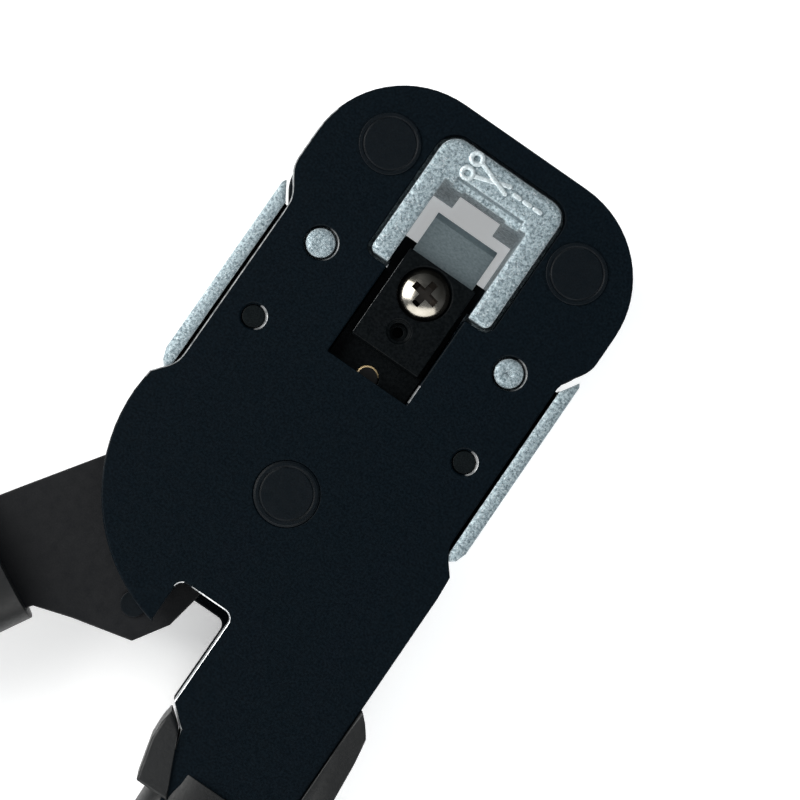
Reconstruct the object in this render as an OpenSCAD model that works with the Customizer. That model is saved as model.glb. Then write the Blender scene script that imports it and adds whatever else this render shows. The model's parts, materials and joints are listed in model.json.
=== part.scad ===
/* [Frame plates] */
// thickness of each side plate
plate_thickness = 2.0; // [1.5:0.1:2.5]
// height of the front plate's outer face above the rest plane
front_plate_level = 1.5; // [1.2:0.1:2.0]
// clear space between the two plates
core_thickness = 11.0; // [10:0.1:12]
// half width of the head
head_half_width = 22.0; // [20:0.1:24]
// height of the head's top edge above the main pivot
head_top = 51.3; // [48:0.1:54]
// radius of the head's two top corners
head_corner_radius = 13.0; // [8:0.1:16]
// half width of the waist between the two side notches
waist_half_width = 19.7; // [18:0.1:21]
// radius of the lower lobe around the main pivot
pivot_lobe_radius = 22.1; // [20:0.1:24]

/* [Plug nest] */
// width of the nest, for a modular eight contact plug
nest_width = 11.9; // [11.7:0.05:12.2]
// height of the nest's floor above the main pivot
nest_floor = 34.4; // [34:0.1:35]
// height of the nest's main ceiling above the main pivot
nest_ceiling = 42.4; // [42:0.1:43]
// width of the channel for the plug's latch
latch_channel_width = 6.2; // [5:0.1:7]
// number of contacts in the plug
contact_count = 8; // [4, 6, 8]
// spacing of the plug's contacts
contact_pitch = 1.02; // [1.0:0.01:1.3]

/* [Mechanism] */
// travel of the ram
ram_travel = 4.5; // [4:0.1:5]
// angle the moving handle turns to close the tool
closing_angle = 28; // [24:1:30]
// distance from the main pivot to the cam roller, tool open
roller_open_distance = 17.3; // [17:0.1:18]
// radius of the cam roller
roller_radius = 2.5; // [2.2:0.1:3]
// radial gap of the running fits
running_gap = 0.05; // [0.02:0.01:0.08]
// thickness of the moving lever
lever_thickness = 5.0; // [4:0.1:6]
// radius of the ratchet sector over its teeth
sector_radius = 14.4; // [14:0.1:15]
// number of ratchet teeth
tooth_count = 5; // [3:1:7]

/* [Trim blade] */
// width of the trim blade
blade_width = 8.75; // [8:0.05:9.5]
// thickness of the trim blade
blade_thickness = 0.9; // [0.6:0.1:1.2]
// height of the trim blade's cutting edge above the main pivot, tool open
blade_edge = 38.9; // [38:0.1:40]
// diameter of the blade screw's head
blade_screw_head = 6.2; // [5:0.1:7]

/* [Cable slot] */
// position of the cable slot's left wall
slot_left = -4.7; // [-6:0.1:-4]
// position of the cable slot's right wall
slot_right = 3.0; // [2:0.1:4]
// height of the cable slot's top, below the main pivot
slot_top = -15.6; // [-17:0.1:-14]

/* [Grips] */
// overall thickness of the grips
grip_thickness = 18.0; // [16:0.5:22]
// length of the grips below the main pivot
grip_end = 152; // [130:1:160]
// depth of the soft pad inset in each grip
pad_depth = 1.2; // [0.8:0.1:2]

/* [Hidden] */
$fn = 64;

// levels, from the rest plane up
core_low = front_plate_level + plate_thickness;
core_high = core_low + core_thickness;
rear_face = core_high + plate_thickness;
mid_level = (core_low + core_high) / 2;
lever_low = mid_level - lever_thickness / 2;
lever_high = mid_level + lever_thickness / 2;
over = 0.5;                                  // how far a cutting tool runs past a face

// outline of the head, the waist and the leg
corner_x = head_half_width - head_corner_radius;
corner_y = head_top - head_corner_radius;
notch_top = 33.2;                            // where the side notches start
notch_bottom = 2.9;                          // where the side notches end
waist_top = 29.8;
waist_bottom = 5.6;
leg_right = pivot_lobe_radius;
lobe_edge = sqrt(pow(pivot_lobe_radius, 2) - pow(notch_bottom, 2));
shoulder = -28;                              // where the leg's inner side starts to slope
tang_end = -96;                              // where the round ends of the leg and lever start
tang_x = 17.7;
tang_half = 5.5;
mirror_line = 2.5;                           // the two handles mirror about this line, tool closed

// rivets, pins and screws
rivet_pos = [[-13.8, 42.0], [13.8, 42.0]];
corner_shank = 5.0;
rivet_head = 7.6;
rivet_rise = 0.25;
boss_pos = [[-13.85, 27.3], [13.85, 27.3]];
boss_diameter = 3.6;
boss_hole = 4.2;
side_pin_pos = [[-15.45, 15.35], [15.45, 15.35]];
side_pin_diameter = 2.8;
side_pin_mouth = 3.2;
sunk = 0.3;                                  // how far the bosses and side pins end below the plates
pivot_pin_diameter = 8.0;
pivot_front_head = 10.0;
bush_wall = 1.0;
leg_rivet_diameter = 4.0;
leg_rivet_pos = [for (y = [-50, -90]) [grip_x(-y), y]];
grip_screw_pos = [for (y = [-113, -138]) [grip_x(-y), y]];
anvil_rivet_diameter = 2.4;
anvil_rivet_pos = [[8.2, -17.5], [8.2, -25.5]];
cutter_rivet_diameter = 2.0;
cutter_rivet_pos = [[-6.2, -16.6], [-7.6, -21.2]];
punch_pin_diameter = 1.2;
punch_pin_pos = [[-3.2, 28.6], [3.2, 28.6]];
punch_pin_low = 4.0;
punch_pin_high = 12.2;

// core, bezels and the strips at its sides
core_inset = 0.4;
core_sweep_radius = 27.4;                    // room for the lever
side_strip_inner = 18.3;
core_waist = 19.5;
strip_root = 19;
strip_groove = 20.15;                        // inner edge of a strip, clear of the plates
strip_groove_depth = 1.5;
strip_slant = 2.1;                           // the strip's top end follows the notch
notch_rounding = 1.3;
strip_inner_edge = 20.3;
strip_outer_edge = 21.9;
strip_bottom = 4.3;
strip_top = 31.3;
bezel_left = -8.6;
bezel_right = 8.75;
bezel_top = 47.5;
bezel_bottom = 30.05;
front_bezel_bottom = 31.6;
bezel_gap = 0.5;
bezel_rise = 0.5;                            // how far the bezels stand out of the plates
bezel_radius = 2.3;
bezel_foot_radius = 0.9;
blade_pocket_top = 43.5;
punch_window_half = 4.7;

// ram, punches, blade and clamp
ram_half = 5.6;
ram_slot_half = 5.75;
plate_slot_bottom = 17;
front_slot_top = slot_top - 1.2;             // the front plate's slot ends a little lower
ram_low = core_low + 0.3;
ram_high = core_high - 0.3;
ram_shelf = 28.2;
ram_neck = 29.9;
fork_gap = 0.2;                              // space between the lever and each fork ear
fork_mouth = 12.6;
fork_floor = 25.2;                           // underside of the ram's solid part
roller_pin_diameter = 3.0;
punch_floor = 27.6;
punch_half = 4.5;
contact_punch_low = 7.9;
contact_punch_high = 11.0;
strain_punch_low = 4.6;
strain_punch_high = 7.4;
strain_punch_half = 4.0;
punch_edge = 31.0;
blade_low = core_high - 0.1;
ram_edge_low = blade_low - 0.9;
blade_high = blade_low + blade_thickness;
screw_y = 29.3;
screw_tip = 11.2;
screw_shank = 3.0;
screw_clearance = 3.2;
clamp_left = -4.6;
clamp_right = 4.95;
clamp_bottom = 20.5;
clamp_top = 33.0;
clamp_high = rear_face + 0.4;
clamp_seat = 15.7;
roll_pin_y = 23.8;
roll_pin_diameter = 2.2;
roll_pin_low = 12.4;
roll_pin_high = 15.2;

// cam slot, ratchet sector, pawl and anvil
cam_slot_half = roller_radius + running_gap;
cam_wall_end = 1.5;
cam_wall_side = 2.2;
sector_start = 116;
sector_end = 132;
tooth_depth = 0.55;
relief_radius = 13.2;
pawl_length = 7.8;
pawl_tilt = 16.65;
anvil_right = 12.0;
anvil_high = lever_low - 0.1;

// a point given by its distance and angle from the main pivot
function polar(r, a) = [r * cos(a), r * sin(a)];
// distance of the roller from the pivot at an angle of the lever's cam
function cam_distance(a) = roller_open_distance + ram_travel * (90 - a) / closing_angle;
// how far the cam's normal leans from the radius
cam_climb = ram_travel / (closing_angle * PI / 180);
function cam_lean(a) = atan(cam_climb / cam_distance(a));
// a point of the cam, offset square to its path
function cam_point(a, offset) = polar(cam_distance(a), a) + polar(offset, a + cam_lean(a));
// centre line and half width of a grip, by distance below the pivot, tool closed
function grip_x(y) = 18.0 - 2.5 * pow((y - 94) / 58, 2);
function grip_half(y) = 11.2 - 1.3 * pow((y - 98) / 56, 2);

module slab(low, high) {
  translate([0, 0, low]) linear_extrude(height = high - low) children();
}

module at(places) {
  for (p = places) translate([p[0], p[1], 0]) children();
}

module rod(d, low, high) {
  translate([0, 0, low]) cylinder(d = d, h = high - low);
}

module box_2d(x0, x1, y0, y1) {
  translate([x0, y0]) square([x1 - x0, y1 - y0]);
}

module round_box_2d(x0, x1, y0, y1, r) {
  box_2d(x0 + r, x1 - r, y0, y1);
  box_2d(x0, x1, y0 + r, y1 - r);
  for (x = [x0 + r, x1 - r], y = [y0 + r, y1 - r]) translate([x, y]) circle(r = r);
}

// ---- the two plates ----

// a rounded corner at b of an outline that runs from a over b to c
function eased(a, b, c) =
  let (start = b + notch_rounding * (a - b) / norm(a - b), end = b + notch_rounding * (c - b) / norm(c - b))
  [for (i = [0:4]) let (t = i / 4) (1 - t) * (1 - t) * start + 2 * t * (1 - t) * b + t * t * end];

// the left hand side notch from its top down, with rounded corners
function notch() =
  let (
    high = [-head_half_width, notch_top],
    waist_high = [-waist_half_width, waist_top],
    waist_low = [-waist_half_width, waist_bottom],
    low = [-lobe_edge, notch_bottom]
  )
  concat(
    eased([-head_half_width, corner_y], high, waist_high),
    eased(high, waist_high, waist_low),
    eased(waist_high, waist_low, low),
    [low]
  );

function mirrored(points) = [for (i = [len(points) - 1:-1:0]) [-points[i][0], points[i][1]]];

module head_2d() {
  for (s = [-1, 1]) corner_2d(s, head_corner_radius);
  box_2d(-corner_x, corner_x, corner_y - 1, head_top);
  polygon(concat(
    [[-head_half_width, corner_y]], notch(), [[-pivot_lobe_radius, 0]],
    [[pivot_lobe_radius, 0]], mirrored(notch()), [[head_half_width, corner_y]]
  ));
  intersection() {
    circle(r = pivot_lobe_radius);
    box_2d(-pivot_lobe_radius - 1, 10, -pivot_lobe_radius - 1, 0);
  }
}

// one rounded top corner of the head
module corner_2d(side, r) {
  intersection() {
    translate([side * corner_x, corner_y]) circle(r = r);
    translate([side * (corner_x + r / 2), corner_y + r / 2]) square([r + 0.002, r + 2], center = true);
  }
}

module leg_2d() {
  polygon([
    [slot_right, slot_top + 3], [slot_right, shoulder], [5.6, shoulder - 2.3], [9.5, -42],
    [tang_x - tang_half, tang_end], [tang_x + tang_half, tang_end], [22.6, -60],
    [leg_right, -36], [leg_right, 0], [slot_right, 0]
  ]);
  translate([tang_x, tang_end]) circle(r = tang_half);
}

module cable_slot_2d(top) {
  round_box_2d(slot_left, slot_right, top - 20, top, 1.1);
}

module plate_2d(top) {
  difference() {
    union() {
      head_2d();
      leg_2d();
    }
    cable_slot_2d(top);
    box_2d(slot_left - 0.01, slot_right, -40, slot_top - 5.8);
  }
}

module plate_holes(low, high, mouth) {
  at(rivet_pos) rod(corner_shank, low, high);
  rod(pivot_pin_diameter, low, high);
  at(boss_pos) rod(boss_hole, low, high);
  at(side_pin_pos) {
    rod(side_pin_diameter, low, high);
    rod(side_pin_mouth, mouth[0], mouth[1]);
  }
  at(leg_rivet_pos) rod(leg_rivet_diameter, low, high);
}

module rear_plate() {
  color([0.05, 0.07, 0.09])
  difference() {
    slab(core_high, rear_face) plate_2d(slot_top);
    plate_holes(core_high - over, rear_face + over, [rear_face - 0.5, rear_face + over]);
    slab(core_high - over, rear_face + over) {
      bezel_2d(bezel_bottom, bezel_gap);
      box_2d(-ram_slot_half, ram_slot_half, plate_slot_bottom, bezel_bottom);
    }
  }
}

module front_plate() {
  color([0.05, 0.07, 0.09])
  difference() {
    slab(front_plate_level, core_low) plate_2d(front_slot_top);
    plate_holes(front_plate_level - over, core_low + over,
      [front_plate_level - over, front_plate_level + 0.5]);
    at(anvil_rivet_pos) rod(anvil_rivet_diameter, front_plate_level - over, core_low + over);
    slab(front_plate_level - over, core_low + over) bezel_2d(front_bezel_bottom, bezel_gap);
  }
}

// ---- the cast core between them, with the nest ----

module core_2d() {
  difference() {
    union() {
      for (s = [-1, 1]) corner_2d(s, head_corner_radius - core_inset);
      box_2d(-corner_x, corner_x, corner_y - 1, head_top - core_inset);
      box_2d(-head_half_width + core_inset, head_half_width - core_inset, notch_top + 0.6, corner_y);
      box_2d(-core_waist, core_waist, strip_bottom, notch_top + 2);
      for (s = [0, 1]) mirror([s, 0, 0]) strip_2d(strip_root);
    }
    // room for the lever, the pawl and the springs
    intersection() {
      circle(r = core_sweep_radius);
      box_2d(-side_strip_inner, side_strip_inner, -core_sweep_radius, core_sweep_radius);
    }
    box_2d(-side_strip_inner, side_strip_inner, strip_bottom - 1, 21);
  }
}

// the right hand strip that shows in the side notch, from an inner edge outwards
module strip_2d(inner) {
  polygon([
    [inner, strip_bottom], [strip_inner_edge, strip_bottom], [strip_outer_edge - 0.5, strip_bottom + 0.6],
    [strip_outer_edge, strip_bottom + 2], [strip_outer_edge, strip_top - 0.5],
    [strip_outer_edge - 0.3, strip_top], [strip_inner_edge, strip_top - strip_slant],
    [inner, strip_top - strip_slant - 0.2]
  ]);
}

// outline of a bezel, grown by a gap
module bezel_2d(bottom, grow) {
  left = bezel_left - grow;
  right = bezel_right + grow;
  round_box_2d(left, right, bottom + 4, bezel_top + grow, bezel_radius + grow);
  round_box_2d(left, right, bottom - grow, bottom + 9, bezel_foot_radius + grow);
}

module die_core() {
  punch_high = blade_low - 1.0;
  color([0.62, 0.64, 0.65])
  difference() {
    union() {
      slab(core_low, core_high) core_2d();
      slab(core_high, rear_face + bezel_rise) bezel_2d(bezel_bottom, 0);
      slab(front_plate_level - 1.0, core_low) bezel_2d(front_bezel_bottom, 0);
      at(boss_pos) rod(boss_diameter, front_plate_level + sunk, rear_face - sunk);
      for (s = [0, 1]) mirror([s, 0, 0]) slab(front_plate_level + sunk, rear_face - sunk)
        strip_2d(strip_groove);
    }
    // the nest, right through
    slab(-over, rear_face + 1) {
      box_2d(-nest_width / 2, nest_width / 2, nest_floor, nest_ceiling);
      box_2d(-latch_channel_width / 2, latch_channel_width / 2, nest_ceiling - 1, nest_ceiling + 0.35);
    }
    // deeper latch channel at the side the plug goes in
    slab(-over, core_low + 6)
      box_2d(-latch_channel_width / 2, latch_channel_width / 2, nest_ceiling - 1, nest_ceiling + 2.6);
    // guide channel of the ram
    slab(ram_low - 0.3, core_high + over)
      box_2d(-ram_half - 0.15, ram_half + 0.15, 20, ram_shelf + ram_travel + 0.2);
    // windows in the nest's floor for the punches
    slab(ram_low - 0.3, punch_high + 0.05)
      box_2d(-punch_window_half, punch_window_half, 30, nest_floor + 0.1);
    // the ram's front edge and the trim blade run over the nest
    slab(punch_high - 0.1, rear_face + 1)
      box_2d(-nest_width / 2, nest_width / 2, 20, nest_ceiling);
    slab(blade_low - 0.05, rear_face + 1)
      box_2d(-4.8, 4.9, 20, blade_pocket_top);
    // grooves between the strips and the plates
    for (s = [0, 1]) mirror([s, 0, 0]) {
      slab(core_high - strip_groove_depth, rear_face) box_2d(core_waist, strip_groove, 0, strip_top + 1);
      slab(0, core_low + strip_groove_depth) box_2d(core_waist, strip_groove, 0, strip_top + 1);
    }
    // rivets of the corners
    at(rivet_pos) rod(corner_shank, core_low - over, core_high + over);
    // a small mark in one boss
    translate([boss_pos[1][0], boss_pos[1][1], 0]) rod(0.7, rear_face - 0.6, rear_face);
  }
}

// ---- rivets and pins of the frame ----

module headed_rivet(shank, front_head, rear_head) {
  top = rear_face + rivet_rise;
  difference() {
    union() {
      rod(shank, front_plate_level - 0.2, rear_face + 0.1);
      rod(front_head, 0, front_plate_level);
      rod(rear_head, rear_face, top);
    }
    // a fine turned ring in the head
    difference() {
      rod(rear_head - 0.9, top - 0.1, top + over);
      rod(rear_head - 1.3, top - 0.2, top + 1);
    }
  }
}

module corner_rivets() {
  color([0.06, 0.07, 0.08]) at(rivet_pos) headed_rivet(corner_shank, rivet_head, rivet_head);
}

module main_pivot_rivet() {
  color([0.06, 0.07, 0.08]) headed_rivet(pivot_pin_diameter, pivot_front_head, rivet_head);
}

module side_pin(i) {
  at([side_pin_pos[i]]) rod(side_pin_diameter, front_plate_level + sunk, rear_face - sunk);
}

module pawl_pin() {
  color([0.12, 0.12, 0.13]) side_pin(0);
}

module spring_anchor_pin() {
  color([0.12, 0.12, 0.13]) side_pin(1);
}

// ---- the fixed leg ----

module leg_spacer() {
  color([0.15, 0.15, 0.16]) difference() {
    slab(core_low, core_high) difference() {
      polygon([
        [9.4, -11.6], [14, -6.5], [leg_right - 0.5, -6.5], [leg_right - 0.5, -36], [22.2, -60],
        [22.8, tang_end], [12.6, tang_end], [9.9, -42], [7.4, -31], [9.4, -24]
      ]);
      circle(r = sector_radius + 0.3);
      box_2d(8, anvil_right + 0.1, -29, -13);
    }
    at(leg_rivet_pos) rod(leg_rivet_diameter, core_low - over, core_high + over);
  }
}

module leg_rivets() {
  color([0.5, 0.5, 0.52]) at(leg_rivet_pos) rod(leg_rivet_diameter, front_plate_level, rear_face);
}

module cutter_anvil() {
  color([0.55, 0.56, 0.58]) difference() {
    slab(core_low, anvil_high) box_2d(slot_right + 0.2, anvil_right, -28, -14.4);
    at(anvil_rivet_pos) rod(anvil_rivet_diameter, core_low - over, anvil_high + over);
  }
}

module anvil_rivets() {
  color([0.4, 0.4, 0.42]) at(anvil_rivet_pos) {
    rod(anvil_rivet_diameter, front_plate_level, anvil_high - 0.2);
    rod(anvil_rivet_diameter + 1.4, front_plate_level - 0.4, front_plate_level);
  }
}

// ---- grips, drawn in the closed pose, right hand side ----

module grip_2d(top, inset) {
  n = 14;
  low = grip_end - 8;
  left = [for (i = [0:n]) let (y = top + (low - top) * i / n) [grip_x(y) - grip_half(y) + inset, -y]];
  right = [for (i = [n:-1:0]) let (y = top + (low - top) * i / n) [grip_x(y) + grip_half(y) - inset, -y]];
  polygon(concat(left, right));
  translate([grip_x(low), -low]) scale([1, 0.85]) circle(r = grip_half(low) - inset);
}

module wings_2d() {
  polygon([[leg_right + 0.05, -16], [24.6, -18.6], [25.6, -30], [grip_x(38) + grip_half(38), -38],
    [20, -38], [leg_right + 0.05, -36.5]]);
  polygon([[3.35, -29.2], [2.9, -33], [grip_x(38) - grip_half(38), -38], [9.2, -38],
    [5.55, -30.35], [3.4, -28.6]]);
}

// a slab between two levels given in either order
module span(a, b) {
  slab(min(a, b), max(a, b)) children();
}

// half of a grip, from its outer face to the middle of the tool
module grip_shell(outer, winged) {
  step = outer < mid_level ? 1 : -1;
  difference() {
    union() {
      span(outer + step * 1.6, mid_level) grip_2d(36, 0);
      span(outer + step * 0.5, outer + step * 1.6) grip_2d(36.4, 0.6);
      span(outer, outer + step * 0.5) grip_2d(37, 1.6);
      if (winged) span(outer + step * 1.6, mid_level) wings_2d();
    }
    grip_screw_holes();
    span(outer - step * over, outer + step * pad_depth) pad_2d();
  }
}

module pad_2d() {
  n = 12;
  top = 60;
  low = 97;
  half = 5.2;
  left = [for (i = [0:n]) let (y = top + (low - top) * i / n) [grip_x(y) - half, -y]];
  right = [for (i = [n:-1:0]) let (y = top + (low - top) * i / n) [grip_x(y) + half, -y]];
  polygon(concat(left, right));
  for (y = [top, low]) translate([grip_x(y), -y]) circle(r = half);
}

module grip_screw_holes() {
  at(grip_screw_pos) {
    rod(2.6, -over, grip_thickness - 3);
    rod(5.4, -over, 4);
  }
}

module grip_screws() {
  at(grip_screw_pos) difference() {
    union() {
      rod(2.5, 3, 14.5);
      rod(5.0, 1.8, 4);
    }
    slab(1, 2.8) for (a = [0, 90]) rotate(a) box_2d(-1.6, 1.6, -0.3, 0.3);
  }
}

module grip_pads() {
  slab(grip_thickness - pad_depth, grip_thickness) pad_2d();
  slab(0, pad_depth) pad_2d();
}

module fixed_cavity() {
  room = 0.2;
  slab(front_plate_level - 0.55, rear_face + 0.55) polygon([
    [4.0, -20], [4.0, -28.5], [5.4, -30.5], [9.3, -42], [tang_x - tang_half - room, tang_end],
    [tang_x - tang_half - room, -103], [tang_x + tang_half + room, -103],
    [tang_x + tang_half + room, tang_end], [22.8, -60], [leg_right + 0.05, -36.5],
    [leg_right + 0.05, -10]
  ]);
}

module fixed_grip_rear() {
  color([0.08, 0.08, 0.09]) difference() {
    grip_shell(grip_thickness, true);
    fixed_cavity();
  }
}

module fixed_grip_front() {
  color([0.08, 0.08, 0.09]) difference() {
    grip_shell(0, true);
    fixed_cavity();
  }
}

module fixed_grip_screws() {
  color([0.4, 0.4, 0.42]) grip_screws();
}

module fixed_grip_pads() {
  color([0.16, 0.16, 0.17]) grip_pads();
}

// ---- springs ----

// a straight run of wire in the plane of the plates
module wire_run(from, to, d) {
  run = to - from;
  translate(from) rotate([0, 90, atan2(run[1], run[0])]) cylinder(d = d, h = norm(run));
}

// one closed turn of wire
module wire_ring(r, d) {
  rotate_extrude() translate([r, 0]) circle(d = d);
}

module handle_return_spring() {
  wire = 1.2;
  coil = 8.6;
  low = core_low + 0.75;
  rise = wire * 0.95;
  color([0.6, 0.6, 0.62]) {
    for (i = [0, 1]) translate([0, 0, low + i * rise]) wire_ring(coil, wire);
    wire_run([coil - 0.4, 0, low], [side_pin_pos[1][0] - 2.0, 17.6, low], wire);
    wire_run([-coil + 0.4, 0, low + rise], [-coil + 0.4, -12, low + rise], wire);
  }
}

module pawl_spring() {
  wire = 0.7;
  coil = 1.9;
  low = lever_high + 0.6;
  color([0.6, 0.6, 0.62]) translate([side_pin_pos[0][0], side_pin_pos[0][1], 0]) {
    for (i = [0, 1]) translate([0, 0, low + i * wire * 0.9]) wire_ring(coil, wire);
    wire_run([-coil, 0, low], [-coil, 4.5, low], wire);
    wire_run([coil, 0, low + wire * 0.9], [coil - 0.2, -4.2, low + wire * 0.9], wire);
  }
}

// ---- the moving lever ----

module cam_path_2d(half, n) {
  end = 90 - closing_angle;
  far_lean = end + cam_lean(end);
  near_lean = 90 + cam_lean(90);
  far = polar(cam_distance(end), end);
  near = polar(cam_distance(90), 90);
  outer = [for (i = [n:-1:0]) cam_point(90 - closing_angle * i / n, half)];
  inner = [for (i = [0:n]) cam_point(90 - closing_angle * i / n, -half)];
  near_cap = [for (i = [1:17]) near + half * [cos(near_lean + i * 10), sin(near_lean + i * 10)]];
  far_cap = [for (i = [1:17]) far + half * [cos(far_lean + 180 + i * 10), sin(far_lean + 180 + i * 10)]];
  polygon(concat(outer, near_cap, inner, far_cap));
}

module sector_2d() {
  pitch = (sector_end - sector_start) / tooth_count;
  teeth = [for (i = [0:tooth_count - 1], k = [0, 1])
    k == 0 ? polar(sector_radius - tooth_depth, sector_start + i * pitch) :
      polar(sector_radius, sector_start + (i + 0.5) * pitch)];
  polygon(concat([[0, 0]], teeth, [polar(sector_radius - tooth_depth, sector_end)]));
}

module in_closed_pose_mirrored() {
  // the moving handle mirrors the fixed one when closed, and is turned back to rest
  rotate(-closing_angle) translate([mirror_line * 2, 0, 0]) mirror([1, 0, 0]) children();
}

module lever_arm_2d() {
  // the cutting edge, which sweeps across the cable slot
  polygon([
    [0, 0], [-11, -18], [-18.6, -28.6], [-12.8, -26.8], [-5.2, -25.0], [-2.5, -20.8],
    [-1.8, -17], [-1.0, -12.5]
  ]);
  in_closed_pose_mirrored() {
    polygon([
      [5, 0], [6, -26], [7.6, -36], [9.8, -42],
      [tang_x - tang_half, tang_end], [tang_x + tang_half, tang_end],
      [22.6, -60], [21.8, -40], [20.6, -28], [18.8, -12], [17.6, -2]
    ]);
    translate([tang_x, tang_end]) circle(r = tang_half);
  }
}

module lever_plate() {
  color([0.07, 0.08, 0.09]) difference() {
    slab(lever_low, lever_high) {
      circle(r = relief_radius);
      sector_2d();
      cam_path_2d(cam_slot_half + cam_wall_end, 14);
      polygon(concat([[0, 0], polar(16, 46)], [for (i = [14:-1:0])
        cam_point(90 - closing_angle * i / 14, cam_slot_half + cam_wall_side)]));
      lever_arm_2d();
    }
    slab(lever_low - over, lever_high + over) {
      cam_path_2d(cam_slot_half, 28);
      circle(d = pivot_pin_diameter + 2 * bush_wall);
    }
    slab(lever_low - over, lever_low + 1.0) cutter_blade_2d();
    at(cutter_rivet_pos) rod(cutter_rivet_diameter, lever_low - over, lever_high + over);
    in_closed_pose_mirrored() at(leg_rivet_pos)
      rod(leg_rivet_diameter, lever_low - over, lever_high + over);
  }
}

module cutter_blade_2d() {
  polygon([[-1.0, -12.8], [-7.2, -12.8], [-9.6, -24.6], [-5.2, -25.0], [-2.5, -20.8], [-1.8, -17]]);
}

module cutter_blade() {
  color([0.6, 0.61, 0.63]) difference() {
    slab(lever_low, lever_low + 1.0) cutter_blade_2d();
    at(cutter_rivet_pos) rod(cutter_rivet_diameter, lever_low - over, lever_low + 2);
  }
}

module cutter_blade_rivets() {
  color([0.4, 0.4, 0.42]) at(cutter_rivet_pos) {
    rod(cutter_rivet_diameter, lever_low, lever_high);
    rod(cutter_rivet_diameter + 1.2, lever_high, lever_high + 0.4);
  }
}

module pivot_bush() {
  color([0.72, 0.58, 0.3]) difference() {
    rod(pivot_pin_diameter + 2 * bush_wall, lever_low, lever_high);
    rod(pivot_pin_diameter + 2 * running_gap, lever_low - over, lever_high + over);
  }
}

module moving_cavity() {
  slab(lever_low, lever_high) polygon([
    [5.2, -20], [6, -26], [7.6, -36], [9.8, -42], [tang_x - tang_half, tang_end],
    [tang_x - tang_half, -103], [tang_x + tang_half, -103], [tang_x + tang_half, tang_end],
    [22.6, -60], [21.8, -40], [20.6, -28], [19.6, -20]
  ]);
}

module moving_grip_rear() {
  color([0.08, 0.08, 0.09]) in_closed_pose_mirrored() difference() {
    grip_shell(grip_thickness, false);
    moving_cavity();
  }
}

module moving_grip_front() {
  color([0.08, 0.08, 0.09]) in_closed_pose_mirrored() difference() {
    grip_shell(0, false);
    moving_cavity();
  }
}

module moving_grip_screws() {
  color([0.4, 0.4, 0.42]) in_closed_pose_mirrored() grip_screws();
}

module moving_grip_pads() {
  color([0.16, 0.16, 0.17]) in_closed_pose_mirrored() grip_pads();
}

// ---- the ram ----

// the ram's fork ears and shank, up to a given height
module ram_shank_2d(top) {
  box_2d(-ram_half, ram_half, roller_open_distance, top);
  translate([0, roller_open_distance]) scale([1, 0.5]) circle(r = ram_half);
}

module ram_block() {
  color([0.07, 0.075, 0.08]) difference() {
    union() {
      slab(ram_low, ram_edge_low) {
        ram_shank_2d(ram_shelf);
        box_2d(-punch_half, punch_half, roller_open_distance, ram_neck);
      }
      slab(ram_edge_low, ram_high) {
        ram_shank_2d(punch_edge);
        box_2d(-ram_half - 0.25, ram_half + 0.25, punch_edge - 0.25, nest_floor - 0.1);
      }
    }
    // the fork that the lever works in
    slab(lever_low - fork_gap, lever_high + fork_gap)
      box_2d(-ram_half - 1, ram_half + 1, fork_mouth, fork_floor);
    translate([0, roller_open_distance, 0]) rod(roller_pin_diameter, ram_low - over, ram_high + over);
    // seats of the two punches
    slab(contact_punch_low, contact_punch_high) box_2d(-punch_half, punch_half, punch_floor, ram_neck + 1);
    slab(strain_punch_low, strain_punch_high)
      box_2d(-strain_punch_half, strain_punch_half, punch_floor, ram_neck + 1);
    at(punch_pin_pos) rod(punch_pin_diameter, punch_pin_low, punch_pin_high);
    translate([0, screw_y, 0]) rod(screw_shank, screw_tip, ram_high + over);
    translate([0, roll_pin_y, 0]) rod(roll_pin_diameter, roll_pin_low, ram_high + over);
  }
}

module contact_punch() {
  tooth = 0.42;
  color([0.6, 0.61, 0.63]) difference() {
    slab(contact_punch_low, contact_punch_high) {
      box_2d(-punch_half, punch_half, punch_floor, ram_neck);
      for (i = [0:contact_count - 1]) translate([(i - (contact_count - 1) / 2) * contact_pitch, 0])
        box_2d(-tooth / 2, tooth / 2, ram_neck - 0.5, punch_edge);
    }
    at(punch_pin_pos) rod(punch_pin_diameter, punch_pin_low, ram_edge_low);
  }
}

module strain_relief_punch() {
  half = strain_punch_half;
  color([0.6, 0.61, 0.63]) difference() {
    slab(strain_punch_low, strain_punch_high) polygon([
      [-half, punch_floor], [half, punch_floor], [half, punch_edge - 0.8],
      [half - 0.6, punch_edge], [-half + 0.6, punch_edge], [-half, punch_edge - 0.8]
    ]);
    at(punch_pin_pos) rod(punch_pin_diameter, punch_pin_low, 9);
  }
}

module punch_pins() {
  color([0.4, 0.4, 0.42]) at(punch_pin_pos) rod(punch_pin_diameter, punch_pin_low, punch_pin_high);
}

module trim_blade() {
  left = -4.25;
  right = left + blade_width;
  ground = blade_edge - 0.9;
  color([0.55, 0.57, 0.59]) difference() {
    union() {
      slab(blade_low, blade_high) box_2d(left, right, 25.2, ground);
      // the ground edge
      translate([left, 0, 0]) rotate([90, 0, 90]) linear_extrude(height = right - left) polygon([
        [ground - 0.01, blade_low], [blade_edge, blade_low], [ground, blade_high],
        [ground - 0.01, blade_high]
      ]);
    }
    translate([0, screw_y, 0]) rod(screw_clearance, blade_low - over, blade_high + over);
  }
}

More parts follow.
